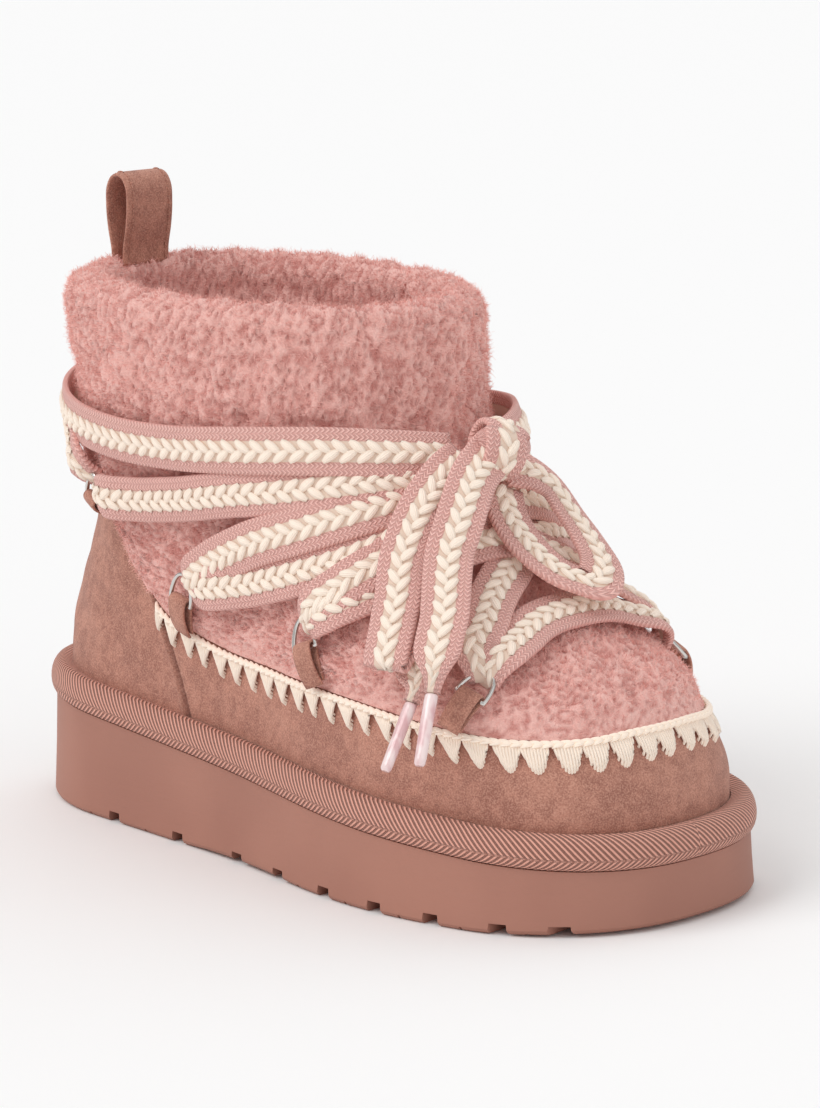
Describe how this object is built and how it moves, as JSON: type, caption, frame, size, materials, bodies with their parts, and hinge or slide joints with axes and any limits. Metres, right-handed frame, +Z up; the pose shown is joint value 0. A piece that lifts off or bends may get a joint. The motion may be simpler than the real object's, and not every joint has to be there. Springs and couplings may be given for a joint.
{
  "type": "fur-trimmed ankle boot",
  "caption": "Platform ankle boot with suede foot, curly fleece vamp and rolled cuff, whipstitched edge, D-rings, flat lace crossed and wrapped round the ankle, bow and pull loop.",
  "frame": {"origin": "on the floor below the middle of the boot's length and width", "axes": "+X towards the toe, +Y towards the medial side, +Z up"},
  "size_m": [0.2776, 0.1328, 0.2091],
  "materials": {
    "sole_foam": "matte moulded foam",
    "welt_tape": "ribbed twill tape",
    "insole": "short pile",
    "suede": "brushed faux suede",
    "fleece": "curly pile",
    "edging": "cream yarn",
    "nickel": "polished nickel",
    "lace": "braided flat lace",
    "aglet": "clear tipping film"
  },
  "bodies": {
    "root": {"outsole": "sole_foam", "welt": "welt_tape", "insole": "insole", "upper": "suede", "fleece": "fleece", "edging": "edging", "pull_loop": "suede", "ring_lateral_1": "nickel", "tab_lateral_1": "suede", "ring_lateral_2": "nickel", "tab_lateral_2": "suede", "ring_lateral_3": "nickel", "tab_lateral_3": "suede", "ring_lateral_4": "nickel", "tab_lateral_4": "suede", "ring_medial_1": "nickel", "tab_medial_1": "suede", "ring_medial_2": "nickel", "tab_medial_2": "suede", "ring_medial_3": "nickel", "tab_medial_3": "suede", "ring_medial_4": "nickel", "tab_medial_4": "suede", "lacing": "lace", "bow_knot": "lace", "bow_loop_lateral": "lace", "bow_loop_medial": "lace", "lace_end_front": "lace", "lace_end_back": "lace", "aglet_front": "aglet", "aglet_back": "aglet"}
  },
  "joints": []
}
